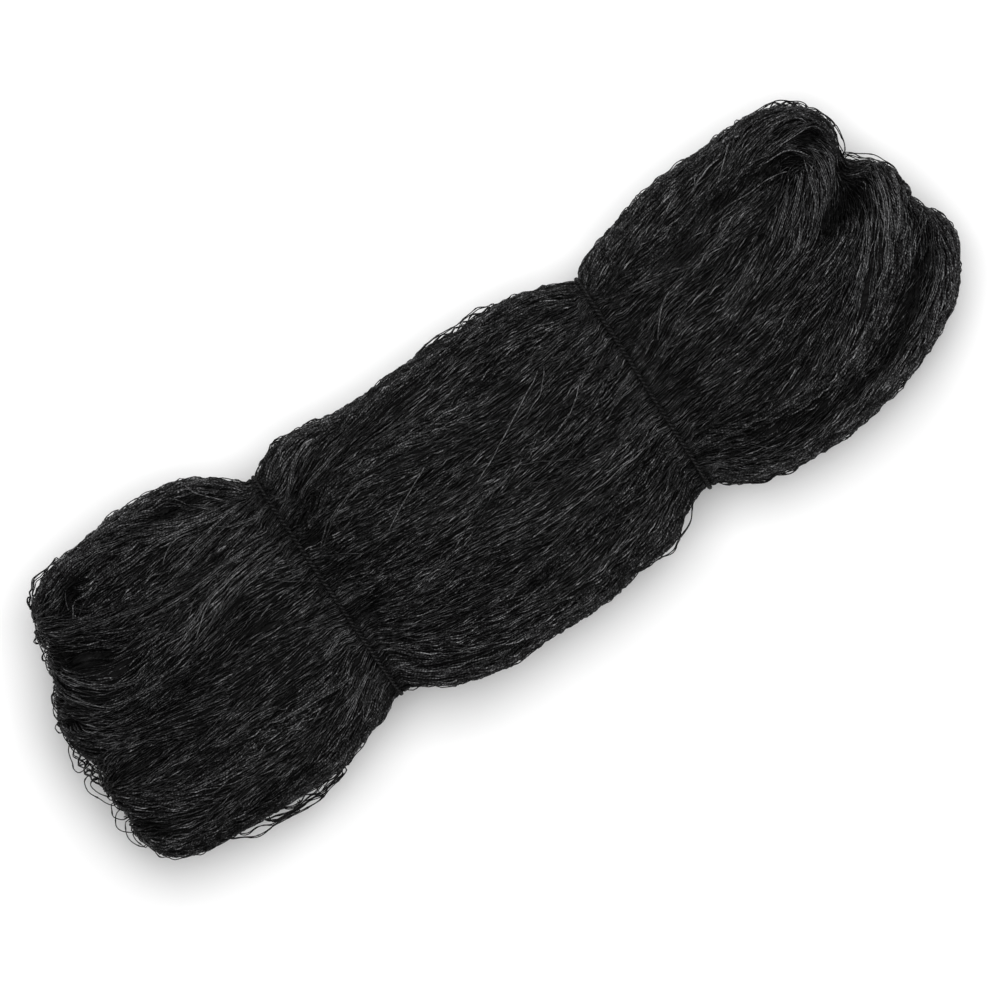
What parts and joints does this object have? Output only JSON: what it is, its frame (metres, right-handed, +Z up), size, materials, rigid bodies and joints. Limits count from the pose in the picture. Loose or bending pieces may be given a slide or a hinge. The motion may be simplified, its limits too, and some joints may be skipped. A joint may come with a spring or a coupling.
{
  "type": "bird netting hank",
  "caption": "Knotted mesh netting gathered into a rope, flaked back and forth into a long flat hank and tied round with thin cord between its lobes.",
  "frame": {"origin": "middle of the bounding box in plan, at the level of the flat underside that the hank lies on", "axes": "+X along the hank towards the end with the in-plane turn on its upper side, +Y across it, +Z up"},
  "size_m": [0.7984, 0.273, 0.1331],
  "materials": {
    "net_twine": "matt black twisted twine with a faint sheen",
    "tie_twine": "matt black twisted cord"
  },
  "bodies": {
    "root": {"net_hank": "net_twine", "tie_left": "tie_twine", "tie_right": "tie_twine"}
  },
  "joints": []
}
